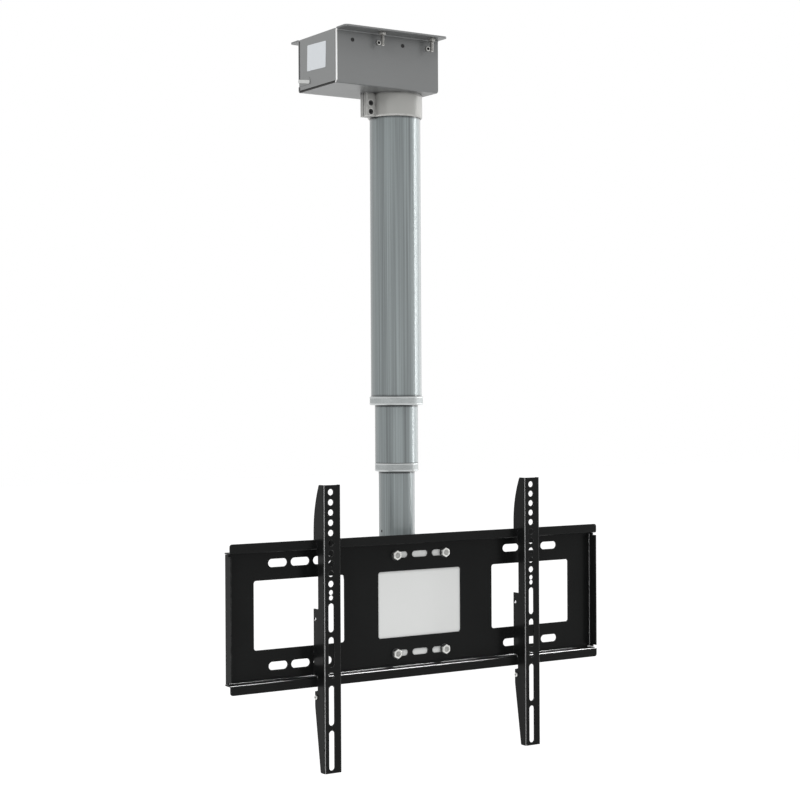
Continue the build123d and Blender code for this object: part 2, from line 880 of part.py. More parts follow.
def foot_socket():
    socket = tube(inner_inside - seat_gap, foot_socket_bore, shelf_top, shelf_top + foot_socket_height)
    socket -= foot_screw_holes()
    hole_top = shelf_top + foot_bolt_depth + 1
    for x, y in foot_bolt_places():
        socket -= rod(foot_bolt_radius + seat_gap, (x, y, shelf_top - 1), (x, y, hole_top))
    return socket


def foot_screws():
    outside = inner_tube_radius - seat_gap
    screws = foot_screw_bars(foot_screw_radius, inner_tube_radius - foot_screw_length, outside)
    sockets = foot_screw_bars(foot_screw_radius / 2, outside - foot_screw_socket, outside + 1)
    return [screw - socket for screw, socket in zip(screws, sockets)]


def foot_bolts():
    under = shelf_top - bracket_sheet
    bolts = []
    for x, y in foot_bolt_places():
        head = hexagon(foot_bolt_flats, (x, y, under - foot_bolt_head), (x, y, under))
        bolts.append(head + rod(foot_bolt_radius, (x, y, under - 1), (x, y, shelf_top + foot_bolt_depth)))
    return bolts


def plate_bolt_places():
    return [(i * plate_bolt_x, cut_z + j * slot_row) for i in (-1, 1) for j in (-1, 1)]


def head_bracket():
    front, back = web_back, web_back + bracket_sheet
    under = shelf_top - bracket_sheet
    low = plate_z - bracket_fall
    path = [(shelf_behind_column, under), (back, under), (back, low)]
    section = folded_section(path[::-1], bracket_sheet, bracket_sheet)
    bracket = extrude(facing_x(-bracket_half_width) * section, 2 * bracket_half_width)
    outline = [
        (back - weld_overlap, under + weld_overlap),
        (shelf_behind_column, under + weld_overlap),
        (shelf_behind_column, under - gusset_foot / 2),
        (back + gusset_foot, low + gusset_foot / 2),
        (back - weld_overlap, low + gusset_foot / 2),
    ]
    gusset = make_face(Polyline(*outline, close=True))
    for x in (-bracket_half_width, bracket_half_width - bracket_sheet):
        bracket += extrude(facing_x(x) * gusset, bracket_sheet)
    for x, z in plate_bolt_places():
        bracket -= rod(plate_bolt_radius + face_gap, (x, front - 1, z), (x, back + 1, z))
    for x, y in foot_bolt_places():
        bracket -= rod(foot_bolt_radius + face_gap, (x, y, under - 1), (x, y, shelf_top + 1))
    return bracket


def wall_plate():
    half_height = plate_height / 2
    low, high = plate_z - half_inner, plate_z + half_inner
    path = [
        (lip_front, plate_z + half_height),
        (lip_front, high),
        (web_front, high),
        (web_front, low),
        (lip_front, low),
        (lip_front, plate_z - half_height),
    ]
    section = folded_section(path, plate_sheet, plate_bend)
    plate = extrude(facing_x(-half_plate) * section, plate_length)
    tips = [
        e
        for e in plate.edges().filter_by(Axis.Y)
        if abs(abs(e.center().Z - plate_z) - half_height) < 0.01
    ]
    plate = fillet(tips, lip_corner)
    relief = 2 * (plate_sheet + plate_bend)
    for side in (-1, 1):
        ends = sorted((side * (half_plate - relief), side * (half_plate + 1)))
        plate -= block((ends[0], web_front - 1, low), (ends[1], web_back + 1, high))
    sides = [
        (half_plate, lip_front),
        (half_plate, web_back),
        (-half_plate, web_back),
        (-half_plate, lip_front),
    ]
    strip = folded_section(sides, plate_sheet, plate_bend)
    strip = Pos(0, 0, plate_z - flange_half) * extrude(strip, 2 * flange_half)
    notch_depth, notch_height = side_flange_notch
    for end in (-1, 1):
        heights = sorted((plate_z + end * (flange_half - notch_height), plate_z + end * (flange_half + 1)))
        strip -= block(
            (-half_plate - 1, lip_front - 1, heights[0]),
            (half_plate + 1, lip_front + notch_depth, heights[1]),
        )
    plate += strip
    window = RectangleRounded(side_window_far - side_window_near, window_height, window_corner)
    middle = (side_window_far + side_window_near) / 2
    cuts = [(x, window) for x in (-middle, middle)]
    cuts.append((0, RectangleRounded(centre_window_width, window_height, window_corner)))
    for x, shape in cuts:
        plate -= extrude(facing_front(web_back + 1) * Pos(x, cut_z) * shape, plate_sheet + 2)
    rows = (cut_z - slot_row, cut_z + slot_row)
    steps = (-1, 0, 1)
    side_xs = [side * side_slot_centre + i * side_slot_pitch for side in (-1, 1) for i in steps]
    side_places = [(x, z) for x in side_xs for z in rows]
    centre_places = [(i * centre_slot_pitch, z) for i in steps for z in rows]
    y_near, y_far = web_front - 1, web_back + 1
    plate -= slots_facing_front(side_places, side_slot_length, side_slot_width, y_near, y_far)
    plate -= slots_facing_front(centre_places, centre_slot_length, centre_slot_width, y_near, y_far)
    return plate


def plate_bolts():
    seat = web_front - plate_washer_height
    tip = web_back + bracket_sheet + plate_nut_height + plate_bolt_past_nut
    bolts = []
    for x, z in plate_bolt_places():
        head = hexagon(plate_bolt_flats, (x, seat - plate_bolt_head, z), (x, seat, z))
        bolts.append(head + rod(plate_bolt_radius, (x, seat - 1, z), (x, tip, z)))
    return bolts


def plate_washers():
    section = Circle(plate_washer_radius) - Circle(plate_bolt_radius + seat_gap)
    plane = facing_front(web_front)
    return [extrude(plane * Pos(x, z) * section, plate_washer_height) for x, z in plate_bolt_places()]


def plate_nuts():
    near = web_back + bracket_sheet
    bore = plate_bolt_radius + seat_gap
    return [
        hexagon(plate_bolt_flats, (x, near, z), (x, near + plate_nut_height, z), bore)
        for x, z in plate_bolt_places()
    ]


def arm_outline():
    """The side view of an arm's deep flange: hook over the top lip, notch over the bottom one."""
    hook_front = lip_depth - face_gap
    hook_back = lip_depth + plate_sheet + face_gap
    hook_top = plate_height / 2 + face_gap
    shelf_clear = half_inner - arm_shelf_gap
    taper_start, taper_end = half_inner - arm_notch_taper[0], half_inner - arm_notch_taper[1]
    start, end = (arm_hook_depth, arm_taper_end), (arm_top_depth, arm_above)
    points = [
        (arm_top_depth, arm_above),
        (-1, arm_above),
        (-1, -arm_below),
        (arm_bottom_depth, -arm_below),
        (arm_lock_depth, -arm_lock_bottom),
        (arm_lock_depth, -arm_lock_top),
        (hook_front, -arm_lock_top + arm_step),
        (hook_front, -shelf_clear),
        (arm_foot_depth, -shelf_clear),
        (arm_foot_depth, arm_foot_top),
        (arm_notch_depth, arm_foot_top),
        (arm_notch_depth, taper_end),
        (hook_front, taper_start),
        (hook_front, hook_top),
        (hook_back, hook_top),
        (hook_back, hook_top - hook_length),
        (arm_hook_depth, hook_top - hook_length),
        (arm_hook_depth, arm_taper_end),
    ]
    edge = TangentArc(start, end, tangent=(0, 1))
    outline = make_face(Curve() + [edge, Polyline(*points)])
    round_at = [
        (arm_lock_depth, -arm_lock_bottom),
        (arm_foot_depth, arm_foot_top),
        (arm_bottom_depth, -arm_below),
        (arm_top_depth, arm_above),
    ]
    for d, z in round_at:
        near = [v for v in outline.vertices() if abs(v.X - d) + abs(v.Y - z) < 0.01]
        outline = fillet(near, arm_outline_round)
    return Pos(arm_face, plate_z) * outline


def screen_arm(x):
    left, right = x - arm_width / 2, x + arm_width / 2
    path = [
        (left, arm_face + arm_hook_depth + 1),
        (left, arm_face),
        (right, arm_face),
        (right, arm_face + arm_short_flange),
    ]
    low = plate_z - arm_below
    channel = Pos(0, 0, low) * extrude(folded_section(path, arm_sheet, arm_bend), arm_above + arm_below)
    arm = channel & extrude(facing_x(left - 1) * arm_outline(), arm_width + 2)
    y_near, y_far = arm_face - 1, arm_face + arm_sheet + 1
    circles = [(arm_hole_top - i * arm_hole_pitch, arm_hole_radius) for i in range(arm_hole_count)]
    circles += [(z, double_hole_radius) for z in double_hole_places]
    circles.append((low_hole_place, arm_hole_radius))
    hole_x = x + arm_hole_offset
    for z, radius in circles:
        arm -= rod(radius, (hole_x, y_near, plate_z + z), (hole_x, y_far, plate_z + z))
    for top, bottom in arm_slots:
        place = [(hole_x, plate_z + (top + bottom) / 2)]
        arm -= slots_facing_front(place, top - bottom, 2 * arm_hole_radius, y_near, y_far, upright=True)
    string_y, string_z = arm_face + string_hole_depth, plate_z - string_hole_drop
    arm -= rod(string_hole_radius, (left - 1, string_y, string_z), (left + arm_sheet + 1, string_y, string_z))
    lock_y, lock_z = arm_face + lock_screw_depth, plate_z - lock_screw_drop
    return arm - rod(lock_screw_radius + seat_gap, (left - 1, lock_y, lock_z), (x, lock_y, lock_z))


def lock_screw(x):
    left = x - arm_width / 2
    y, z = arm_face + lock_screw_depth, plate_z - lock_screw_drop
    tip = left + arm_sheet + lock_nut_height + lock_past_nut
    return socket_screw(lock_screw_radius, lock_head_radius, lock_head_height, (left, y, z), (tip, y, z))


def lock_nut(x):
    near = x - arm_width / 2 + arm_sheet
    y, z = arm_face + lock_screw_depth, plate_z - lock_screw_drop
    bore = lock_screw_radius + seat_gap
    return hexagon(lock_nut_flats, (near, y, z), (near + lock_nut_height, y, z), bore)


parts = {
    "housing_shell": housing_shell(),
    "left_end_cover": left_end_cover(),
    "right_end_cover": end_cover(box_right, 1),
    "cable_grommet": cable_grommet(),
    "ceiling_bolts": ceiling_bolts(),
    "ceiling_nuts": ceiling_nuts(),
    "clamp_collar": clamp_collar(),
    "clamp_screws": clamp_screws(),
    "thrust_washer": thrust_washer(),
    "drive_cradle": drive_cradle(),
    "cradle_screws": cradle_screws(),
    "cradle_nuts": cradle_nuts(),
    "gearbox_case": gearbox_case(),
    "gearbox_screws": gearbox_screws(),
    "motor": motor(),
    "screw_thrust_bearing": screw_thrust_bearing(),
    "control_board": control_board(),
    "board_standoffs": board_standoffs(),
    "transformer": transformer(),
    "relays": relays(),
    "terminal_block": terminal_block(),
    "outer_tube": outer_tube(),
    "mast_hub": mast_hub(),
    "hub_ring_nut": hub_ring_nut(),
    "hub_screws": hub_screws(),
    "outer_glide_bush": outer_glide_bush(),
    "outer_end_ring": outer_end_ring(),
    "upper_screw": upper_screw(),
    "output_hub": output_hub(),
    "middle_tube": middle_tube(),
    "middle_end_ring": middle_end_ring(),
    "middle_glide_bush": middle_glide_bush(),
    "middle_glide_sleeve": middle_glide_sleeve(),
    "middle_top_plug": middle_top_plug(),
    "middle_drive_nut": middle_drive_nut(),
    "lower_screw_bearing": lower_screw_bearing(),
    "bearing_retainer": bearing_retainer(),
    "lower_screw": lower_screw(),
    "screw_key": screw_key(),
    "inner_tube": inner_tube(),
    "inner_glide_sleeve": inner_glide_sleeve(),
    "inner_top_plug": inner_top_plug(),
    "inner_drive_nut": inner_drive_nut(),
    "foot_socket": foot_socket(),
    "foot_screws": foot_screws(),
    "foot_bolts": foot_bolts(),
    "head_bracket": head_bracket(),
    "wall_plate": wall_plate(),
    "plate_bolts": plate_bolts(),
    "plate_washers": plate_washers(),
    "plate_nuts": plate_nuts(),
}
for side, x in arm_places.items():
    parts[side + "_arm"] = screen_arm(x)
    parts[side + "_lock_screw"] = lock_screw(x)
    parts[side + "_lock_nut"] = lock_nut(x)

os.makedirs("parts", exist_ok=True)
for name, part in parts.items():
    shape = Compound(children=list(part)) if isinstance(part, list) else part
    export_step(shape, f"parts/{name}.step")
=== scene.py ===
import json
from math import ceil, cos, pi, radians, sin, tan

import bpy
from mathutils import Matrix, Vector


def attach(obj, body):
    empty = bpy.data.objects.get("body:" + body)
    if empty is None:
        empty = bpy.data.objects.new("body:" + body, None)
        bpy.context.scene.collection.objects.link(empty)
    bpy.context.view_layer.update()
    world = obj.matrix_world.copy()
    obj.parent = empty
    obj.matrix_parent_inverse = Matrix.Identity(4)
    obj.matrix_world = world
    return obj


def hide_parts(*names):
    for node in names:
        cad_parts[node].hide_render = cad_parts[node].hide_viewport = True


# The looks of a motor-driven telescopic ceiling mount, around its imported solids.
# Modelled pieces are measured in millimetres, everything else in metres. Colours are linear.

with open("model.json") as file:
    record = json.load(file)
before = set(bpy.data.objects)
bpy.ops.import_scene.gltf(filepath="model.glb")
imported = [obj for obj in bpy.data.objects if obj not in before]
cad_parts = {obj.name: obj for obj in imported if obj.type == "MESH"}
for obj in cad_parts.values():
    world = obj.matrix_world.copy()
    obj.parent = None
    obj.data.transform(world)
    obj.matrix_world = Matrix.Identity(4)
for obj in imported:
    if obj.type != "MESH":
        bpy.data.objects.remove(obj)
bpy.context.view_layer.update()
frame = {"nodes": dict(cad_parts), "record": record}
solids = frame["nodes"]

MM = 0.001
TURN = 2 * pi

# Camera
PHOTO_PIXELS = 800
FOCAL_PIXELS = 1741.8
SENSOR_MM = 36.0
EYE = Vector((-1.4923, -2.3138, -0.5560))
EYE_TURN = radians(-32.94)
EYE_TILT = radians(-0.16)
EYE_ROLL = radians(-0.29)

# Room
WHITE = (1.0, 1.0, 1.0, 1.0)
SURROUND_LIGHT = 0.62
FLOOR_COLOUR = (0.7, 0.7, 0.7, 1)
FLOOR_HEIGHT = -2.3
FLOOR_SIZE = 60.0
FLOOR_LIFT = 0.6
COLUMN_MIDDLE = (0, 0, -0.45)
PLATE_MIDDLE = (0, -0.07, -0.9)
TUBES = ("outer_tube", "middle_tube", "inner_tube")
BLACK_PARTS = ("wall_plate", "left_arm", "right_arm")


def aim_camera():
    ahead = Vector((-sin(EYE_TURN) * cos(EYE_TILT), cos(EYE_TURN) * cos(EYE_TILT), sin(EYE_TILT)))
    level = Vector((cos(EYE_TURN), sin(EYE_TURN), 0))
    upright = level.cross(ahead)
    right = level * cos(EYE_ROLL) + upright * sin(EYE_ROLL)
    up = upright * cos(EYE_ROLL) - level * sin(EYE_ROLL)
    data = bpy.data.cameras.new("photo_camera")
    data.sensor_width = SENSOR_MM
    data.lens = FOCAL_PIXELS / PHOTO_PIXELS * SENSOR_MM
    data.clip_start = 0.1
    data.clip_end = 200
    camera = bpy.data.objects.new("photo_camera", data)
    bpy.context.scene.collection.objects.link(camera)
    axes = Matrix((right, up, -ahead)).transposed().to_4x4()
    camera.matrix_world = Matrix.Translation(EYE) @ axes
    bpy.context.scene.camera = camera
    bpy.context.scene.view_settings.view_transform = "Standard"


def fill(tree, node, settings):
    """Fills a node's inputs, by name or number, each with a value or another node's output."""
    for name, value in settings.items():
        if isinstance(value, bpy.types.NodeSocket):
            tree.links.new(value, node.inputs[name])
        else:
            node.inputs[name].default_value = value
    return node


def lay(tree, kind, settings=None, **properties):
    """A new node in a tree, with its inputs filled."""
    made = tree.nodes.new(kind)
    for name, value in properties.items():
        setattr(made, name, value)
    return fill(tree, made, settings or {})


def maths(tree, operation, *values):
    return lay(tree, "ShaderNodeMath", dict(enumerate(values)), operation=operation).outputs[0]


def white_to_camera(tree):
    """1 for a ray that the camera sees directly, in a mirror or through glass."""
    path = lay(tree, "ShaderNodeLightPath").outputs
    seen = maths(tree, "MAXIMUM", path["Is Camera Ray"], path["Is Glossy Ray"])
    return maths(tree, "MAXIMUM", seen, path["Is Transmission Ray"])


def light_the_room():
    world = bpy.data.worlds.new("white_studio")
    bpy.context.scene.world = world
    world.use_nodes = True
    tree = world.node_tree
    tree.nodes.clear()
    soft = lay(tree, "ShaderNodeBackground", {"Color": WHITE, "Strength": SURROUND_LIGHT}).outputs[0]
    plain = lay(tree, "ShaderNodeBackground", {"Color": WHITE, "Strength": 1.0}).outputs[0]
    mixed = lay(tree, "ShaderNodeMixShader", {0: white_to_camera(tree), 1: soft, 2: plain}).outputs[0]
    lay(tree, "ShaderNodeOutputWorld", {0: mixed})


def softbox(name, place, target, width, height, watts, mirrored=True, lights=True, only=()):
    """A rectangular lamp.

    It may stay out of mirror images, show in mirror images alone, or shine on the named solids alone.
    """
    data = bpy.data.lights.new(name, "AREA")
    data.shape = "RECTANGLE"
    data.size = width
    data.size_y = height
    data.energy = watts
    lamp = bpy.data.objects.new(name, data)
    bpy.context.scene.collection.objects.link(lamp)
    lamp.location = place
    lamp.rotation_mode = "QUATERNION"
    lamp.rotation_quaternion = (Vector(target) - Vector(place)).to_track_quat("-Z", "Y")
    lamp.visible_camera = False
    lamp.visible_glossy = mirrored
    lamp.visible_diffuse = lights
    if only:
        lit = bpy.data.collections.new(name + "_lights")
        for node_name in only:
            lit.objects.link(solids[node_name])
        lamp.light_linking.receiver_collection = lit


def lay_floor():
    half = FLOOR_SIZE / 2
    mesh = bpy.data.meshes.new("studio_floor")
    corners = [(-half, -half), (half, -half), (half, half), (-half, half)]
    mesh.from_pydata([(x, y, FLOOR_HEIGHT) for x, y in corners], [], [(0, 1, 2, 3)])
    floor = bpy.data.objects.new("studio_floor", mesh)
    bpy.context.scene.collection.objects.link(floor)
    material = bpy.data.materials.new("studio_white")
    material.use_nodes = True
    tree = material.node_tree
    fill(tree, tree.nodes["Principled BSDF"], {
        "Base Color": FLOOR_COLOUR,
        "Roughness": 0.9,
        "Emission Color": WHITE,
        "Emission Strength": maths(tree, "MULTIPLY", white_to_camera(tree), FLOOR_LIFT),
    })
    mesh.materials.append(material)


aim_camera()
light_the_room()
lay_floor()
softbox(
    "left_front_softbox", (-3.4, -2.4, 0.6), (0, 0, -0.55),
    width=1.6, height=2.2, watts=55, mirrored=False,
)
softbox("overhead_softbox", (0.4, -1.6, 2.6), (0, 0, -0.6), width=2.0, height=2.0, watts=40, mirrored=False)
softbox("right_strip", (2.6, -0.7, -0.4), COLUMN_MIDDLE, width=0.16, height=2.6, watts=9)
softbox("right_softbox", (2.7, 0.3, -0.4), COLUMN_MIDDLE, width=2.4, height=2.8, watts=22)
softbox(
    "strip_beside_the_tubes", (2.48, -1.08, -0.4), COLUMN_MIDDLE,
    width=0.3, height=2.6, watts=26, lights=False, only=TUBES,
)
softbox(
    "strip_above_the_plate", (1.3, -0.3, 1.2), PLATE_MIDDLE,
    width=0.9, height=1.5, watts=1300, lights=False, only=BLACK_PARTS,
)
softbox(
    "softbox_left_of_the_plate", (-2.1, -1.45, -1.0), PLATE_MIDDLE,
    width=1.6, height=1.8, watts=400, lights=False, only=BLACK_PARTS,
)


# Surface effects, each built once and placed in every finish that needs it
def effect(name, inputs, outputs):
    """A new node group: its tree, the sockets of what it is given, and its exit node."""
    tree = bpy.data.node_groups.new(name, "ShaderNodeTree")
    for label, kind, value in inputs:
        socket = tree.interface.new_socket(label, in_out="INPUT", socket_type="NodeSocket" + kind)
        if value is not None:
            socket.default_value = value
    for label, kind in outputs:
        tree.interface.new_socket(label, in_out="OUTPUT", socket_type="NodeSocket" + kind)
    return tree, tree.nodes.new("NodeGroupInput").outputs, tree.nodes.new("NodeGroupOutput")


def span(tree, value, low, high):
    """0 at one value and 1 at another, even between them and level beyond."""
    settings = {"Value": value, "From Min": low, "From Max": high}
    return lay(tree, "ShaderNodeMapRange", settings).outputs["Result"]


def vector_maths(tree, operation, first, second):
    return lay(tree, "ShaderNodeVectorMath", {0: first, 1: second}, operation=operation).outputs


def noise(tree, place, size, detail, roughness=0.5):
    settings = {"Vector": place, "Scale": size, "Detail": detail, "Roughness": roughness}
    return lay(tree, "ShaderNodeTexNoise", settings).outputs["Fac"]


def make_coat_grain():
    """Fine pebbling and slight shade changes of a sprayed coat."""
    tree, given, out = effect(
        "coat_grain",
        [("Vector", "Vector", None), ("Colour", "Color", WHITE), ("Size", "Float", 900.0),
         ("Spread", "Float", 0.1)],
        [("Colour", "Color"), ("Height", "Float")],
    )
    fine = noise(tree, given["Vector"], size=given["Size"], detail=2.0)
    broad = noise(tree, given["Vector"], size=14.0, detail=3.0)
    centred = maths(tree, "SUBTRACT", maths(tree, "ADD", fine, broad), 1.0)
    spread = maths(tree, "MULTIPLY_ADD", centred, given["Spread"], 1.0)
    colour = vector_maths(tree, "MULTIPLY", given["Colour"], spread)["Vector"]
    fill(tree, out, {"Colour": colour, "Height": fine})
    return tree


def make_drawn_lines():
    """Long fine lines that drawing, turning or brushing leaves in metal.

    Stretch squeezes the pattern along an axis.
    """
    line_weight = 1.8
    line_roughness = 0.16
    tree, given, out = effect(
        "drawn_lines",
        [("Vector", "Vector", None), ("Colour", "Color", WHITE), ("Stretch", "Vector", (1.0, 1.0, 0.01)),
         ("Size", "Float", 900.0), ("Contrast", "Float", 0.2), ("Roughness", "Float", 0.3)],
        [("Colour", "Color"), ("Roughness", "Float"), ("Height", "Float")],
    )
    place = vector_maths(tree, "MULTIPLY", given["Vector"], given["Stretch"])["Vector"]
    bands = noise(tree, place, size=70.0, detail=2.0)
    lines = noise(tree, place, size=given["Size"], detail=4.0)
    both = maths(tree, "MULTIPLY_ADD", lines, line_weight, bands)
    centred = maths(tree, "SUBTRACT", both, (line_weight + 1) / 2)
    shade = maths(tree, "MULTIPLY_ADD", centred, given["Contrast"], 1.0)
    colour = vector_maths(tree, "MULTIPLY", given["Colour"], shade)["Vector"]
    rough = maths(tree, "MULTIPLY_ADD", lines, line_roughness, given["Roughness"])
    fill(tree, out, {"Colour": colour, "Roughness": rough, "Height": lines})
    return tree


def make_worn_and_highlit_edges():
    """A mask of the edges where handling has worn a finish, broken up by noise; with a pale colour and a wide
    edge it paints a highlight along edges that catch the light.
    """
    nearly_flat, clearly_bent = 0.995, 0.8
    whole, worn_and_highlit = 0.35, 0.6
    tree, given, out = effect(
        "worn_and_highlit_edges",
        [("Vector", "Vector", None), ("Width", "Float", 0.0006), ("Amount", "Float", 0.5)],
        [("Mask", "Float")],
    )
    rounded = lay(tree, "ShaderNodeBevel", {"Radius": given["Width"]}, samples=4).outputs[0]
    face = lay(tree, "ShaderNodeNewGeometry").outputs["Normal"]
    alike = vector_maths(tree, "DOT_PRODUCT", rounded, face)["Value"]
    edge = span(tree, alike, nearly_flat, clearly_bent)
    patches = span(tree, noise(tree, given["Vector"], size=60.0, detail=4.0), whole, worn_and_highlit)
    edge_wear_and_highlight = maths(tree, "MULTIPLY", maths(tree, "MULTIPLY", edge, patches), given["Amount"])
    fill(tree, out, {"Mask": edge_wear_and_highlight})
    return tree


def make_handling_marks():
    """Roughness that drifts over a surface, from wiping and fingerprints."""
    tree, given, out = effect(
        "handling_marks",
        [("Vector", "Vector", None), ("Roughness", "Float", 0.4), ("Amount", "Float", 0.1)],
        [("Roughness", "Float")],
    )
    cloudy = noise(tree, given["Vector"], size=22.0, detail=5.0, roughness=0.6)
    centred = maths(tree, "SUBTRACT", cloudy, 0.5)
    rough = maths(tree, "MULTIPLY_ADD", centred, given["Amount"], given["Roughness"])
    fill(tree, out, {"Roughness": rough})
    return tree


def make_joint_shade():
    """A mask of painted shade where two pieces meet, fuller the less open the surroundings are."""
    tree, given, out = effect(
        "joint_shade",
        [("Reach", "Float", 0.006), ("Open", "Float", 0.8), ("Closed", "Float", 0.42),
         ("Amount", "Float", 0.6)],
        [("Mask", "Float")],
    )
    openness = lay(tree, "ShaderNodeAmbientOcclusion", {"Distance": given["Reach"]}, samples=6)
    closed = span(tree, openness.outputs["AO"], given["Open"], given["Closed"])
    fill(tree, out, {"Mask": maths(tree, "MULTIPLY", closed, given["Amount"])})
    return tree


COAT_GRAIN = make_coat_grain()
DRAWN_LINES = make_drawn_lines()
WORN_AND_HIGHLIT_EDGES = make_worn_and_highlit_edges()
HANDLING_MARKS = make_handling_marks()
JOINT_SHADE = make_joint_shade()


# Finishes
SHADE_COLOUR = (0.012, 0.012, 0.013, 1)
SPRAYED_DEPTH = 0.00006
DRAWN_DEPTH = 0.00003
MOULDED_DEPTH = 0.00005


def place_effect(tree, group, settings):
    return lay(tree, "ShaderNodeGroup", settings, node_tree=group).outputs


def start_finish(name):
    material = bpy.data.materials.new(name)
    material.use_nodes = True
    tree = material.node_tree
    place = lay(tree, "ShaderNodeTexCoord").outputs["Object"]
    return material, tree, tree.nodes["Principled BSDF"], place


def blend(tree, mask, under, over):
    return lay(tree, "ShaderNodeMix", {0: mask, 6: under, 7: over}, data_type="RGBA").outputs[2]


def relief(tree, height, strength, depth):
    settings = {"Height": height, "Strength": strength, "Distance": depth}
    return lay(tree, "ShaderNodeBump", settings).outputs["Normal"]


def sprayed(name, colour, roughness, metallic=0.0, specular=0.5, grain=900.0, spread=0.1, pebble=0.25,
            edge_wear_and_highlight=0.3, edge_wear_and_highlight_colour=(0.5, 0.5, 0.5), edge=0.0006, marks=0.12, coat=0.0, shade=0.6):
    """A painted or powder-coated metal: pebbled, unevenly glossy, rubbed at its edges, with painted shade
    where pieces meet.
    """
    material, tree, shader, place = start_finish(name)
    grained = place_effect(tree, COAT_GRAIN, {
        "Vector": place, "Colour": (*colour, 1), "Size": grain, "Spread": spread,
    })
    edges = place_effect(tree, WORN_AND_HIGHLIT_EDGES, {"Vector": place, "Width": edge, "Amount": edge_wear_and_highlight})
    gloss = place_effect(tree, HANDLING_MARKS, {"Vector": place, "Roughness": roughness, "Amount": marks})
    painted_joint_shade = place_effect(tree, JOINT_SHADE, {"Amount": shade})
    worn_and_highlit = blend(tree, edges["Mask"], grained["Colour"], (*edge_wear_and_highlight_colour, 1))
    fill(tree, shader, {
        # painted shade darkens the colour where pieces meet and in crevices
        "Base Color": blend(tree, painted_joint_shade["Mask"], worn_and_highlit, SHADE_COLOUR),
        "Roughness": gloss["Roughness"],
        "Normal": relief(tree, grained["Height"], pebble, SPRAYED_DEPTH),
        "Metallic": metallic,
        "Specular IOR Level": specular,
        "Coat Weight": coat,
        "Coat Roughness": 0.2,
    })
    return material


def drawn(name, colour, roughness, stretch, contrast=0.15, lines=0.15, size=900.0, metallic=1.0, edge_wear_and_highlight=0.25,
          edge_wear_and_highlight_colour=(0.8, 0.8, 0.8), specular=0.5, shade=0.8, reach=0.006, closeness=(0.8, 0.42), coat=0.0):
    """Bare or anodised metal with the lines of its making."""
    material, tree, shader, place = start_finish(name)
    lined = place_effect(tree, DRAWN_LINES, {
        "Vector": place, "Colour": (*colour, 1), "Stretch": stretch, "Size": size, "Contrast": contrast,
        "Roughness": roughness,
    })
    edges = place_effect(tree, WORN_AND_HIGHLIT_EDGES, {"Vector": place, "Amount": edge_wear_and_highlight})
    painted_joint_shade = place_effect(tree, JOINT_SHADE, {
        "Reach": reach, "Open": closeness[0], "Closed": closeness[1], "Amount": shade,
    })
    worn_and_highlit = blend(tree, edges["Mask"], lined["Colour"], (*edge_wear_and_highlight_colour, 1))
    fill(tree, shader, {
        # painted shade darkens the colour where pieces meet and in crevices
        "Base Color": blend(tree, painted_joint_shade["Mask"], worn_and_highlit, SHADE_COLOUR),
        "Roughness": lined["Roughness"],
        "Normal": relief(tree, lined["Height"], lines, DRAWN_DEPTH),
        "Metallic": metallic,
        "Specular IOR Level": specular,
        "Coat Weight": coat,
        "Coat Roughness": 0.06,
    })
    return material


def moulded(name, colour, roughness, grain=500.0, spread=0.08, pebble=0.15):
    """A moulded plastic or rubber with a fine texture."""
    material, tree, shader, place = start_finish(name)
    grained = place_effect(tree, COAT_GRAIN, {
        "Vector": place, "Colour": (*colour, 1), "Size": grain, "Spread": spread,
    })
    gloss = place_effect(tree, HANDLING_MARKS, {"Vector": place, "Roughness": roughness, "Amount": 0.1})
    fill(tree, shader, {
        "Base Color": grained["Colour"],
        "Roughness": gloss["Roughness"],
        "Normal": relief(tree, grained["Height"], pebble, MOULDED_DEPTH),
    })
    return material


# How far the pattern of drawn lines is squeezed along each axis
UPRIGHT = (1.0, 1.0, 0.006)
ROUND_THE_COLUMN = (0.02, 0.02, 1.0)
ALL_WAYS = (1.0, 0.3, 1.0)
CAST = (1.0, 1.0, 1.0)

# Where the housing's coat changes: the places at which each mask starts and is full
FACES_SIDEWAYS = (0.6, 0.9)
UNDER_THE_FLANGE = (-0.0024, -0.0026)
INTO_THE_FRONT_WALL = (0.0538, 0.0540)
AT_THE_FRONT_CORNER = (0.0579, 0.0580)
WITHIN_THE_FRONT_WALL = (0.0592, 0.0590)
AT_THE_WALL_END = (-0.1400, -0.1406)
BETWEEN_THE_WALLS = (0.0545, 0.0543)
AT_THE_BOTTOM_END = (-0.1405, -0.1410)
BARE_EDGE_AND_PAINTED_HIGHLIGHT = (0.97, 0.97, 0.96, 1)
CUT_END_PAINTED_SHADE = (0.03, 0.03, 0.03, 1)


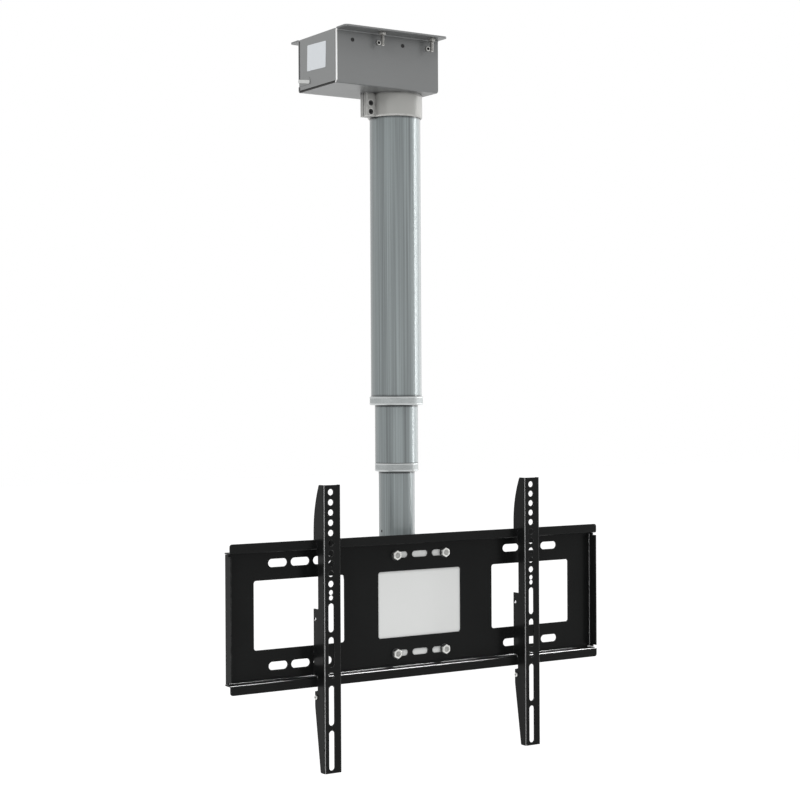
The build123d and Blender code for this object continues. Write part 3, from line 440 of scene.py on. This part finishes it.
def make_housing_paint():
    """Satin grey paint; the front wall's cut left end is bare metal painted near white as a highlight, and
    the bottom's cut end is painted dark as shade.
    """
    material = sprayed(
        "housing_paint", (0.212, 0.217, 0.217), 0.36, metallic=0.4, specular=0.15, grain=1500.0, spread=0.06,
        pebble=0.08, edge_wear_and_highlight=0.2, edge_wear_and_highlight_colour=(0.6, 0.6, 0.6), marks=0.08,
    )
    tree = material.node_tree
    shader = tree.nodes["Principled BSDF"]
    painted = shader.inputs["Base Color"].links[0].from_socket
    here = lay(tree, "ShaderNodeTexCoord").outputs
    facing = lay(tree, "ShaderNodeSeparateXYZ", {0: here["Normal"]}).outputs
    place = lay(tree, "ShaderNodeSeparateXYZ", {0: here["Object"]}).outputs
    cut_end = span(tree, maths(tree, "ABSOLUTE", facing["X"]), *FACES_SIDEWAYS)
    forward = maths(tree, "MULTIPLY", place["Y"], -1.0)
    off_centre = maths(tree, "ABSOLUTE", place["Y"])

    def all_of(mask, *others):
        for other in others:
            mask = maths(tree, "MULTIPLY", mask, other)
        return mask

    wall_end = all_of(cut_end, span(tree, forward, *INTO_THE_FRONT_WALL))
    # painted highlight: the front wall's bare cut end and a thin strip round the corner, near white
    bare_and_highlit_edge = all_of(
        maths(tree, "MAXIMUM", wall_end, span(tree, forward, *AT_THE_FRONT_CORNER)),
        span(tree, place["Z"], *UNDER_THE_FLANGE),
        span(tree, place["X"], *AT_THE_WALL_END),
        span(tree, forward, *WITHIN_THE_FRONT_WALL),
    )
    # painted shade: the bottom sheet's cut end at the left cover is coloured near black
    shaded_bottom_end = all_of(
        cut_end,
        span(tree, off_centre, *BETWEEN_THE_WALLS),
        span(tree, place["X"], *AT_THE_BOTTOM_END),
    )
    darkened = blend(tree, shaded_bottom_end, painted, CUT_END_PAINTED_SHADE)
    fill(tree, shader, {"Base Color": blend(tree, bare_and_highlit_edge, darkened, BARE_EDGE_AND_PAINTED_HIGHLIGHT)})
    return material


FINISHES = {
    "housing_grey": make_housing_paint(),
    "cover_grey": sprayed(
        "cover_paint", (0.235, 0.24, 0.24), 0.32, metallic=0.4, grain=1500.0, spread=0.06, pebble=0.08,
        edge_wear_and_highlight=0.2, edge_wear_and_highlight_colour=(0.6, 0.6, 0.6), marks=0.08,
    ),
    # Collar: its pale, wide edge colour is partly rubbed paint and partly a painted highlight along the
    # bottom edge; its strong joint shade paints the slit and the collar's foot dark.
    "collar_silver": sprayed(
        "collar_paint", (0.355, 0.355, 0.34), 0.36, metallic=0.4, grain=1400.0, spread=0.06, pebble=0.1,
        edge_wear_and_highlight=1.4, edge_wear_and_highlight_colour=(0.85, 0.85, 0.83), edge=0.003, marks=0.1, shade=0.95,
    ),
    "tube_silver": drawn(
        "anodised_tube", (0.208, 0.234, 0.237), 0.3, UPRIGHT, contrast=0.75, lines=0.06, size=420.0,
        metallic=0.5, specular=0.3, edge_wear_and_highlight=0.1, shade=1.0, reach=0.004, closeness=(0.97, 0.78), coat=0.5,
    ),
    "ring_bright": drawn(
        "turned_ring", (0.5, 0.52, 0.52), 0.24, ROUND_THE_COLUMN, contrast=0.2, lines=0.2,
        closeness=(0.95, 0.6),
    ),
    "ring_band": sprayed(
        "blasted_ring_band", (0.35, 0.37, 0.37), 0.42, metallic=0.85, grain=700.0, spread=0.7, pebble=0.5,
        edge_wear_and_highlight=0.0, shade=0.3,
    ),
    "powder_black": sprayed(
        "black_powder_coat", (0.0048, 0.0052, 0.0051), 0.32, specular=0.04, grain=1300.0, spread=0.7,
        pebble=0.08, edge_wear_and_highlight=0.6, edge_wear_and_highlight_colour=(0.11, 0.11, 0.11), edge=0.0012, marks=0.1, coat=0.12,
    ),
    "bracket_grey": sprayed(
        "light_grey_powder_coat", (0.76, 0.77, 0.76), 0.42, specular=0.4, grain=1300.0, spread=0.05,
        pebble=0.2, edge_wear_and_highlight=0.1, edge_wear_and_highlight_colour=(0.8, 0.8, 0.8), shade=0.0,
    ),
    "bright_steel": drawn("zinc_plate", (0.62, 0.62, 0.6), 0.2, ALL_WAYS, contrast=0.2, lines=0.1),
    "dark_steel": drawn(
        "black_oxide", (0.075, 0.075, 0.075), 0.34, ALL_WAYS, contrast=0.4, lines=0.1, metallic=0.8,
        edge_wear_and_highlight_colour=(0.25, 0.25, 0.25),
    ),
    "screw_steel": drawn("ground_steel", (0.42, 0.42, 0.41), 0.22, ROUND_THE_COLUMN, contrast=0.2, lines=0.1),
    "stamped_zinc": drawn(
        "stamped_zinc", (0.3, 0.3, 0.29), 0.36, ALL_WAYS, contrast=0.7, lines=0.3, size=500.0,
    ),
    "dull_zinc": drawn(
        "dull_zinc", (0.4, 0.396, 0.38), 0.24, ALL_WAYS, contrast=0.9, lines=0.15, edge_wear_and_highlight=0.9,
        edge_wear_and_highlight_colour=(0.75, 0.74, 0.72),
    ),
    "plain_aluminium": drawn("cast_aluminium", (0.5, 0.51, 0.52), 0.42, CAST, contrast=0.25, lines=0.3),
    "nut_brass": drawn("turned_brass", (0.6, 0.42, 0.16), 0.24, ROUND_THE_COLUMN, contrast=0.15, lines=0.1),
    "nylon_white": moulded("white_nylon", (0.75, 0.74, 0.69), 0.45),
    "liner_pale": moulded("pale_rubber", (0.72, 0.72, 0.69), 0.55),
    "motor_steel": sprayed(
        "motor_paint", (0.08, 0.085, 0.09), 0.36, metallic=0.3, edge_wear_and_highlight=0.3, edge_wear_and_highlight_colour=(0.4, 0.4, 0.4),
    ),
    "board_green": moulded("board_laminate", (0.02, 0.1, 0.045), 0.3, grain=1200.0, spread=0.25),
    "part_black": moulded("black_moulding", (0.02, 0.02, 0.02), 0.4),
    "transformer_yellow": moulded("yellow_tape", (0.42, 0.31, 0.05), 0.35, spread=0.15),
    "terminal_green": moulded("green_moulding", (0.03, 0.16, 0.06), 0.38),
    "outlet_pale": moulded("pale_flap", (0.62, 0.63, 0.62), 0.5),
    # near-black painted shade for the recesses of sockets and holes
    "socket_shade": moulded("socket_painted_shade", (0.012, 0.012, 0.012), 0.6),
    "label_white": moulded("blank_label", (0.74, 0.77, 0.8), 0.4, grain=700.0, spread=0.03, pebble=0.04),
}

SLOTS = {entry["node"]: entry["material_slot"] for entry in frame["record"]["subparts"]}
for node_name, solid in solids.items():
    chosen = "cover_grey" if node_name.endswith("end_cover") else SLOTS[node_name]
    solid.data.materials.clear()
    solid.data.materials.append(FINISHES[chosen])


# Shapes, in millimetres
SMOOTH_BELOW = radians(35)
RIM_SHARE = 0.475
RINGS_TO_A_PITCH = 6
UP = (0, 0, 1)
DOWN = (0, 0, -1)
TO_THE_FRONT = (0, -1, 0)
TO_THE_BACK = (0, 1, 0)
TO_THE_LEFT = (-1, 0, 0)
TO_THE_RIGHT = (1, 0, 0)


def value_at(value, angle):
    return value(angle) if callable(value) else value


def turned(rings, sides, closed=False):
    """Points and faces through rings of (radius, height), each a number or a function of the angle.

    A radius of 0 makes a tip. A closed shape joins its last ring to its first, as a washer does.
    """
    points, rows = [], []
    for radius, height in rings:
        corners = 1 if radius == 0 else sides
        rows.append(range(len(points), len(points) + corners))
        for i in range(corners):
            angle = TURN * i / sides
            r = value_at(radius, angle) * MM
            points.append(Vector((r * cos(angle), r * sin(angle), value_at(height, angle) * MM)))
    pairs = list(zip(rows, rows[1:]))
    if closed:
        pairs.append((rows[-1], rows[0]))
    faces = []
    for low, high in pairs:
        for i in range(sides):
            j = (i + 1) % sides
            if len(low) == 1:
                faces.append((low[0], high[j], high[i]))
            elif len(high) == 1:
                faces.append((low[i], low[j], high[0]))
            else:
                faces.append((low[i], low[j], high[j], high[i]))
    return points, faces


def last_rings(number, sides):
    """The run of faces in a shape's last rings."""
    return slice(-number * sides, None)


def hexagon(flats):
    """The radius of a hexagon at an angle, flats across."""
    sixth = TURN / 6
    return lambda angle: flats / 2 / cos((angle + sixth / 2) % sixth - sixth / 2)


def cross(reach, half_width):
    """The radius of a cross recess at an angle."""
    quarter = TURN / 4

    def radius(angle):
        turn = abs((angle + quarter / 2) % quarter - quarter / 2)
        return min(reach / cos(turn), half_width / max(sin(turn), 1e-6))

    return radius


def chamfered_top(flats, top, chamfer_radius):
    """The height of a hexagon's rim where a 30 degree cone cuts its corners."""
    radius = hexagon(flats)
    return lambda angle: top - max(0.0, radius(angle) - chamfer_radius) * tan(radians(30))


def thread(root, crest, pitch, low, high):
    """Rings of a right-hand thread from low to high, which fades over one pitch at both ends.

    Its root is sharp, and its crest is flat over about a quarter of the pitch.
    """
    steps = ceil((high - low) / pitch * RINGS_TO_A_PITCH)
    rings = []
    for i in range(steps + 1):
        height = low + (high - low) * i / steps
        depth = crest - root
        depth *= min(1.0, (height - low) / pitch)
        depth *= min(1.0, (high - height) / pitch)

        def radius(angle, height=height, depth=depth):
            phase = (height / pitch - angle / TURN) % 1
            return root + depth * min(1.0, max(0.0, 1.3 - 2.6 * abs(phase - 0.5)))

        rings.append((radius, height))
    return rings


def standing(place, ahead, spin=0.0):
    """Puts a shape built round +Z at a place, pointing ahead."""
    turn = Vector(ahead).to_track_quat("Z", "Y").to_matrix().to_4x4()
    return Matrix.Translation(Vector([value * MM for value in place])) @ turn @ Matrix.Rotation(spin, 4, "Z")


def make_piece(name, shape, places, body, slot, replaces=(), finish=None, inlay=None):
    """One mesh of a shape at each of its places; it rides on a body and may stand for solids.

    An inlay gives a second finish, and the run of the shape's faces that has it.
    """
    shape_points, shape_faces = shape
    points, faces = [], []
    for place in places:
        start = len(points)
        points += [tuple(place @ point) for point in shape_points]
        faces += [tuple(start + i for i in face) for face in shape_faces]
    mesh = bpy.data.meshes.new(name)
    mesh.from_pydata(points, [], faces)
    mesh.validate()
    mesh.shade_smooth()
    mesh.set_sharp_from_angle(angle=SMOOTH_BELOW)
    mesh.materials.append(FINISHES[finish or slot])
    if inlay:
        second_finish, run = inlay
        mesh.materials.append(FINISHES[second_finish])
        inlaid = set(range(len(shape_faces))[run])
        one_shape = [int(i in inlaid) for i in range(len(shape_faces))]
        mesh.polygons.foreach_set("material_index", one_shape * len(places))
    piece = bpy.data.objects.new(name, mesh)
    bpy.context.scene.collection.objects.link(piece)
    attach(piece, body)
    if replaces:
        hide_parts(*replaces)


def nut_rings(flats, height, bore):
    """A hex nut from its seat at 0, chamfered on both faces, with a countersunk bore."""
    sink = 0.4
    rim = flats * RIM_SHARE
    outside = hexagon(flats)
    top = chamfered_top(flats, height, rim)
    bottom = chamfered_top(flats, 0, rim)
    return [
        (bore, sink), (bore + sink, 0), (rim, 0), (outside, lambda a: -bottom(a)), (outside, top),
        (rim, height), (bore + sink, height), (bore, height - sink),
    ]


def hex_head_rings(flats, height, shank):
    """A hex bolt head from its seat at 0 up to height, dished on top, open at the shank."""
    rim = flats * RIM_SHARE
    outside = hexagon(flats)
    dish_floor = height - 0.4
    return [
        (shank, 0), (flats * 0.46, 0), (flats * 0.47, 0.3), (outside, 0.35),
        (outside, chamfered_top(flats, height, rim)), (rim, height), (rim * 0.7, height),
        (rim * 0.62, dish_floor), (0, dish_floor),
    ]


def socket_head_rings(radius, height, socket_flats, socket_depth):
    """A cylinder head with a hexagon socket, from the edge of its seat at 0."""
    edge = min(0.35, radius * 0.12)
    socket = hexagon(socket_flats)
    mouth = socket_flats / 2 * 1.2
    floor = height - socket_depth
    return [
        (radius - edge * 0.4, 0), (radius, edge * 0.5), (radius, height - edge),
        (radius - edge * 0.3, height - edge * 0.3), (radius - edge, height), (mouth, height),
        (socket, height - 0.12), (socket, floor), (0, floor - 0.3),
    ]


NUT_SIDES = 72

# Ceiling bolts: countersunk, flush with the ceiling face, threaded down past their nuts
CEILING_BOLT_SIDES = 48
CEILING_BOLT_PLACES = [(x, y) for x in (-68.0, 22.0) for y in (-72.0, 72.0)]
FLANGE_UNDERSIDE = -2.5
CEILING_BOLT_RINGS = [
    (0, -23.8), (2.2, -23.8), (2.4, -23.6), *thread(2.42, 2.98, 1.0, -23.5, -3.0), (3.0, -2.2),
    (5.2, -0.05), (5.1, 0), (2.3, 0), (hexagon(4.0), -0.1), (hexagon(4.0), -2.0), (0, -2.4),
]
make_piece(
    "threaded_ceiling_bolts", turned(CEILING_BOLT_RINGS, CEILING_BOLT_SIDES),
    [standing((x, y, 0), UP) for x, y in CEILING_BOLT_PLACES],
    "housing", "bright_steel", ["ceiling_bolts"], finish="dull_zinc",
    inlay=("socket_shade", last_rings(2, CEILING_BOLT_SIDES)),
)
make_piece(
    "chamfered_ceiling_nuts", turned(nut_rings(10.0, 5.0, 3.05), NUT_SIDES, closed=True),
    [standing((x, y, FLANGE_UNDERSIDE), DOWN, TURN / 12) for x, y in CEILING_BOLT_PLACES],
    "housing", "bright_steel", ["ceiling_nuts"], finish="dull_zinc",
)

# Cradle screws and their nuts inside the walls
WALL_SCREW_SIDES = 48
WALL_SCREW_HEIGHT = -16.6
WALL_SCREW_PLACES = [(x, side) for side in (-1, 1) for x in (-67.5, 23.2)]
WALL_FACE = 58
WALL_NUT_SEAT = 49.95
WALL_SCREW_RINGS = [
    (0, -9.05), (1.4, -9.05), (1.6, -8.85), *thread(1.62, 1.98, 0.7, -8.8, -0.6), (2.0, 0),
    *socket_head_rings(3.8, 2.6, 4.2, 1.7),
]
make_piece(
    "cradle_socket_screws", turned(WALL_SCREW_RINGS, WALL_SCREW_SIDES),
    [standing((x, side * WALL_FACE, WALL_SCREW_HEIGHT), (0, side, 0)) for x, side in WALL_SCREW_PLACES],
    "housing", "bright_steel", ["cradle_screws"],
    inlay=("socket_shade", last_rings(3, WALL_SCREW_SIDES)),
)
make_piece(
    "chamfered_cradle_nuts", turned(nut_rings(7.0, 3.0, 2.05), NUT_SIDES, closed=True),
    [standing((x, side * WALL_NUT_SEAT, WALL_SCREW_HEIGHT), (0, side, 0)) for x, side in WALL_SCREW_PLACES],
    "housing", "bright_steel", ["cradle_nuts"],
)

# Near-black plugs in the wall holes that have no screw: painted shade for the dark inside of each hole
SHADE_PLUG_PLACES = [(x, side) for side in (-1, 1) for x in (-113.2, -22.6)]
SHADE_PLUG_RINGS = [
    (0, -2.3), (2.25, -2.3), (2.25, 0), (3.0, 0), (3.0, 0.35), (2.75, 0.6), (1.9, 0.6), (1.6, 0.2), (0, 0.2),
]
make_piece(
    "wall_hole_shade_plugs", turned(SHADE_PLUG_RINGS, WALL_SCREW_SIDES),
    [standing((x, side * WALL_FACE, WALL_SCREW_HEIGHT), (0, side, 0)) for x, side in SHADE_PLUG_PLACES],
    "housing", "part_black", finish="socket_shade",
)

# Clamp screws through the collar's ear
CLAMP_SCREW_SIDES = 96
CLAMP_SCREW_HEIGHTS = (-100.0, -113.5)
EAR_MIDDLE = -50.6
EAR_FACE = -4.8
CLAMP_SCREW_RINGS = [
    (0, -14.1), (2.1, -14.1), (2.5, -13.7), (2.5, 0), *socket_head_rings(4.1, 4.5, 4.0, 2.7),
]
make_piece(
    "clamp_socket_screws", turned(CLAMP_SCREW_RINGS, CLAMP_SCREW_SIDES),
    [standing((EAR_MIDDLE, EAR_FACE, height), TO_THE_FRONT) for height in CLAMP_SCREW_HEIGHTS],
    "housing", "dark_steel", ["clamp_screws"],
    inlay=("socket_shade", last_rings(3, CLAMP_SCREW_SIDES)),
)


# End rings under the two outer tubes: two polished beads with a blasted band between
def end_ring_rings(outer, bore, spigot, low, top, spigot_top):
    return [
        (bore, low + 0.4), (bore + 0.4, low), (outer - 2.2, low), (outer - 1.2, low + 0.25),
        (outer - 0.4, low + 0.9), (outer, low + 2.0), (outer, low + 2.7), (outer - 0.5, low + 3.3),
        (outer - 0.5, top - 3.3), (outer, top - 2.7), (outer, top - 2.0), (outer - 0.4, top - 0.9),
        (outer - 1.2, top - 0.25), (outer - 2.2, top), (spigot, top), (spigot, spigot_top),
        (bore, spigot_top),
    ]


END_RING_SIDES = 200
END_RING_BAND = slice(7 * END_RING_SIDES, 8 * END_RING_SIDES)
for tube_name, body, sizes in (
    ("outer", "mast", (42.4, 34.25, 37.45, -571.6, -557.8, -549.8)),
    ("middle", "stage_2", (34.5, 28.85, 31.45, -676.0, -662.2, -654.2)),
):
    make_piece(
        tube_name + "_beaded_end_ring", turned(end_ring_rings(*sizes), END_RING_SIDES, closed=True),
        [Matrix.Identity(4)],
        body, "ring_bright", [tube_name + "_end_ring"],
        inlay=("ring_band", END_RING_BAND),
    )

# Foot screws and the bolts under the bracket's shelf
FOOT_SCREW_SIDES = 72
FOOT_SCREW_SEAT = 28.55
FOOT_SCREW_HEIGHT = -769.6
FOOT_SCREW_RINGS = [
    (0, -11.45), (1.6, -11.45), (2.0, -11.05), (2.0, -0.2), (1.8, 0), (1.2, 0), (hexagon(2.0), -0.1),
    (hexagon(2.0), -1.5), (0, -1.8),
]
make_piece(
    "foot_socket_screws", turned(FOOT_SCREW_RINGS, FOOT_SCREW_SIDES),
    [standing((side * FOOT_SCREW_SEAT, 0, FOOT_SCREW_HEIGHT), (side, 0, 0)) for side in (-1, 1)],
    "stage_3", "dark_steel", ["foot_screws"],
    inlay=("socket_shade", last_rings(2, FOOT_SCREW_SIDES)),
)
FOOT_BOLT_SIDES = 72
FOOT_BOLT_OFFSETS = (-13.08, 13.08)
SHELF_UNDERSIDE = -783.6
FOOT_BOLT_RINGS = [(0, -19.0), (2.6, -19.0), (3.0, -18.6), *hex_head_rings(10.0, 4.0, 3.0)]
make_piece(
    "hex_foot_bolts", turned(FOOT_BOLT_RINGS, FOOT_BOLT_SIDES),
    [standing((x, y, SHELF_UNDERSIDE), DOWN) for x in FOOT_BOLT_OFFSETS for y in FOOT_BOLT_OFFSETS],
    "stage_3", "bright_steel", ["foot_bolts"],
)

# Bolts, washers and nuts that fix the wall plate to the bracket
CUTS_MIDDLE = -877.2
PLATE_BOLT_SIDES = 60
PLATE_WASHER_SIDES = 96
PLATE_FACE = -65
WASHER_FACE = -66.6
BRACKET_INNER_FACE = -60
PLATE_BOLT_PLACES = [(x, CUTS_MIDDLE + rise) for x in (-45, 45) for rise in (-75.6, 75.6)]
PLATE_BOLT_RINGS = [
    (0, -16.1), (3.1, -16.1), (3.4, -15.8), *thread(3.4, 3.98, 1.25, -15.7, -6.0), (4.0, -5.0),
    *hex_head_rings(13.0, 5.3, 4.0),
]
PLATE_WASHER_RINGS = [
    (4.05, 0.2), (4.25, 0), (7.8, 0), (8.0, 0.2), (8.0, 1.4), (7.8, 1.6), (4.25, 1.6), (4.05, 1.4),
]
make_piece(
    "hex_plate_bolts", turned(PLATE_BOLT_RINGS, PLATE_BOLT_SIDES),
    [standing((x, WASHER_FACE, z), TO_THE_FRONT) for x, z in PLATE_BOLT_PLACES],
    "stage_3", "bright_steel", ["plate_bolts"],
    inlay=("stamped_zinc", last_rings(2, PLATE_BOLT_SIDES)),
)
make_piece(
    "round_plate_washers", turned(PLATE_WASHER_RINGS, PLATE_WASHER_SIDES, closed=True),
    [standing((x, PLATE_FACE, z), TO_THE_FRONT) for x, z in PLATE_BOLT_PLACES],
    "stage_3", "bright_steel", ["plate_washers"], finish="dark_steel",
)
make_piece(
    "chamfered_plate_nuts", turned(nut_rings(13.0, 6.5, 4.05), NUT_SIDES, closed=True),
    [standing((x, BRACKET_INNER_FACE, z), TO_THE_BACK) for x, z in PLATE_BOLT_PLACES],
    "stage_3", "bright_steel", ["plate_nuts"],
)

# Lock screw and nut in each arm's deep flange
LOCK_SCREW_SIDES = 72
LOCK_SCREW_DEPTH = -78.6
LOCK_SCREW_HEIGHT = -1003.5
LOCK_SCREW_SPIN = radians(20)
FLANGE_THICKNESS = 2
LOCK_SCREW_RINGS = [
    (0, -6.7), (1.4, -6.7), (1.6, -6.5), *thread(1.62, 1.98, 0.7, -6.4, -0.7), (2.0, 0), (3.4, 0),
    (3.6, 0.25), (3.6, 1.5), (3.35, 2.2), (2.8, 2.65), (2.3, 2.8), (cross(2.0, 0.5), 2.72),
    (cross(1.6, 0.3), 1.5), (0, 1.1),
]
for side, outside in (("left", -193.85), ("right", 175.75)):
    inside = outside + FLANGE_THICKNESS
    make_piece(
        side + "_cross_lock_screw", turned(LOCK_SCREW_RINGS, LOCK_SCREW_SIDES),
        [standing((outside, LOCK_SCREW_DEPTH, LOCK_SCREW_HEIGHT), TO_THE_LEFT, LOCK_SCREW_SPIN)],
        side + "_arm", "bright_steel", [side + "_lock_screw"],
        inlay=("socket_shade", last_rings(2, LOCK_SCREW_SIDES)),
    )
    make_piece(
        side + "_chamfered_lock_nut", turned(nut_rings(7.0, 3.2, 2.05), NUT_SIDES, closed=True),
        [standing((inside, LOCK_SCREW_DEPTH, LOCK_SCREW_HEIGHT), TO_THE_RIGHT)],
        side + "_arm", "bright_steel", [side + "_lock_nut"],
    )


# Flat pieces: an outline that takes an inset, stacked in layers
def layered(outline, layers):
    """Points and faces of a flat piece from layers of (inset, level), closed at both ends."""
    points, rows = [], []
    for inset, level in layers:
        rows.append(len(points))
        points += [Vector((x * MM, y * MM, level * MM)) for x, y in outline(inset)]
    count = len(points) // len(layers)
    faces = [tuple(range(rows[-1], rows[-1] + count)), tuple(reversed(range(count)))]
    for low, high in zip(rows, rows[1:]):
        for i in range(count):
            j = (i + 1) % count
            faces.append((low + i, low + j, high + j, high + i))
    return points, faces


def arc(middle, radius, start, end, steps):
    """Points on part of a circle, with angles in quarter turns."""
    angles = [TURN / 4 * (start + (end - start) * i / steps) for i in range(steps + 1)]
    return [(middle[0] + radius * cos(angle), middle[1] + radius * sin(angle)) for angle in angles]


def rounded_rectangle(width, height, corner):
    def outline(inset):
        x, y, points = width / 2 - corner, height / 2 - corner, []
        for quarter, middle in enumerate(((x, y), (-x, y), (-x, -y), (x, -y))):
            points += arc(middle, corner - inset, quarter, quarter + 1, 8)
        return points

    return outline


def tongue(length, half_height):
    """A bar with one round end, from its straight end at 0."""

    def outline(inset):
        reach = half_height - inset
        return [(inset, -reach), *arc((length - half_height, 0), reach, -1, 1, 24), (inset, reach)]

    return outline


BOX_LEFT = -141.6


def on_left_end(y, z, tilt=0):
    """The one place of a flat piece on the left face of the box, tilted by degrees."""
    return [standing((BOX_LEFT, y, z), TO_THE_LEFT, radians(tilt))]


# The bare plate where a label would be
label = layered(rounded_rectangle(56, 40, 1.5), [(0, 0), (0, 0.24), (0.16, 0.4)])
make_piece("bare_label_plate", label, on_left_end(2, -34.5, -2), "housing", "housing_grey",
           finish="label_white")

# Cable outlet: a liner in the cover's slot, and a soft flap over it
liner = layered(tongue(33.7, 5.9), [(0, -3.4), (0, 0.3), (0.3, 0.6)])
make_piece("outlet_slot_liner", liner, on_left_end(55.2, -68), "housing", "liner_pale", ["cable_grommet"],
           finish="cover_grey")
flap = layered(tongue(34.5, 2.7), [(0, 0.5), (0, 1.3), (0.5, 1.8)])
make_piece("soft_outlet_flap", flap, on_left_end(56.2, -65.2, -9.5), "housing", "liner_pale",
           finish="outlet_pale")
